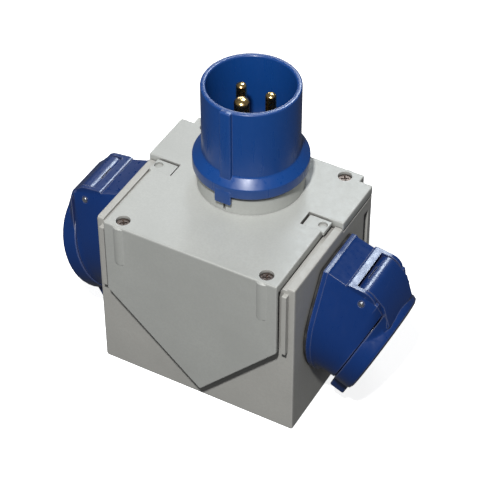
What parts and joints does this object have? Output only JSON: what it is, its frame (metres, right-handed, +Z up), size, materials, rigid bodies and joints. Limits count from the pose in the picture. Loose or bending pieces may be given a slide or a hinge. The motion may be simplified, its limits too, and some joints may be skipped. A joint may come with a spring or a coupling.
{
  "type": "portable power distribution box",
  "caption": "Portable power distribution box with a pin inlet standing on top and a sprung-lid socket outlet angled down from each side.",
  "frame": {"origin": "middle of the box's footprint, on the surface it stands on", "axes": "+X to the right along the wide front face, +Y to the back, +Z up"},
  "size_m": [0.1722, 0.0854, 0.1458],
  "materials": {
    "grey_plastic": "fine-grained satin",
    "cover_grey_plastic": "satin",
    "blue_plastic": "glossy",
    "navy_insulator": "satin",
    "brass": "polished",
    "zinc_plated_steel": "satin",
    "black_rubber": "matt",
    "green_wire": "satin",
    "brown_wire": "satin",
    "light_blue_wire": "satin"
  },
  "bodies": {
    "box": {"box_body": "grey_plastic", "box_cover": "cover_grey_plastic", "cover_catch_left": "cover_grey_plastic", "cover_catch_right": "cover_grey_plastic", "cover_gasket": "black_rubber", "cover_screw_back_left": "zinc_plated_steel", "cover_screw_back_right": "zinc_plated_steel", "cover_screw_front_left": "zinc_plated_steel", "cover_screw_front_right": "zinc_plated_steel", "inlet_gasket": "black_rubber", "inlet_pin_carrier": "navy_insulator", "inlet_pin_earth": "brass", "inlet_pin_line": "brass", "inlet_pin_neutral": "brass", "inlet_screw_left": "zinc_plated_steel", "inlet_screw_right": "zinc_plated_steel", "inlet_shroud": "blue_plastic", "outlet_left_contact_carrier": "navy_insulator", "outlet_left_contact_earth": "brass", "outlet_left_contact_line": "brass", "outlet_left_contact_neutral": "brass", "outlet_left_gasket": "black_rubber", "outlet_left_hinge_pin": "zinc_plated_steel", "outlet_left_hinge_spring": "zinc_plated_steel", "outlet_left_housing": "blue_plastic", "outlet_left_screw_back": "zinc_plated_steel", "outlet_left_screw_front": "zinc_plated_steel", "outlet_right_contact_carrier": "navy_insulator", "outlet_right_contact_earth": "brass", "outlet_right_contact_line": "brass", "outlet_right_contact_neutral": "brass", "outlet_right_gasket": "black_rubber", "outlet_right_hinge_pin": "zinc_plated_steel", "outlet_right_hinge_spring": "zinc_plated_steel", "outlet_right_housing": "blue_plastic", "outlet_right_screw_back": "zinc_plated_steel", "outlet_right_screw_front": "zinc_plated_steel", "wire_left_earth": "green_wire", "wire_left_line": "brown_wire", "wire_left_neutral": "light_blue_wire", "wire_right_earth": "green_wire", "wire_right_line": "brown_wire", "wire_right_neutral": "light_blue_wire"},
    "lid_right": {"outlet_right_lid": "blue_plastic", "outlet_right_lid_seal": "black_rubber"},
    "lid_left": {"outlet_left_lid": "blue_plastic", "outlet_left_lid_seal": "black_rubber"}
  },
  "joints": [
    {"name": "lid_right_hinge", "type": "hinge", "parent": "box", "child": "lid_right", "pos_m": [0.07109, 0, 0.07179], "axis": [0, -1, 0], "range_deg": [0, 100], "stiffness_Nm_per_rad": 0.02, "springref_deg": -57.3},
    {"name": "lid_left_hinge", "type": "hinge", "parent": "box", "child": "lid_left", "pos_m": [-0.07109, 0, 0.07179], "axis": [0, 1, 0], "range_deg": [0, 100], "stiffness_Nm_per_rad": 0.02, "springref_deg": -57.3}
  ]
}
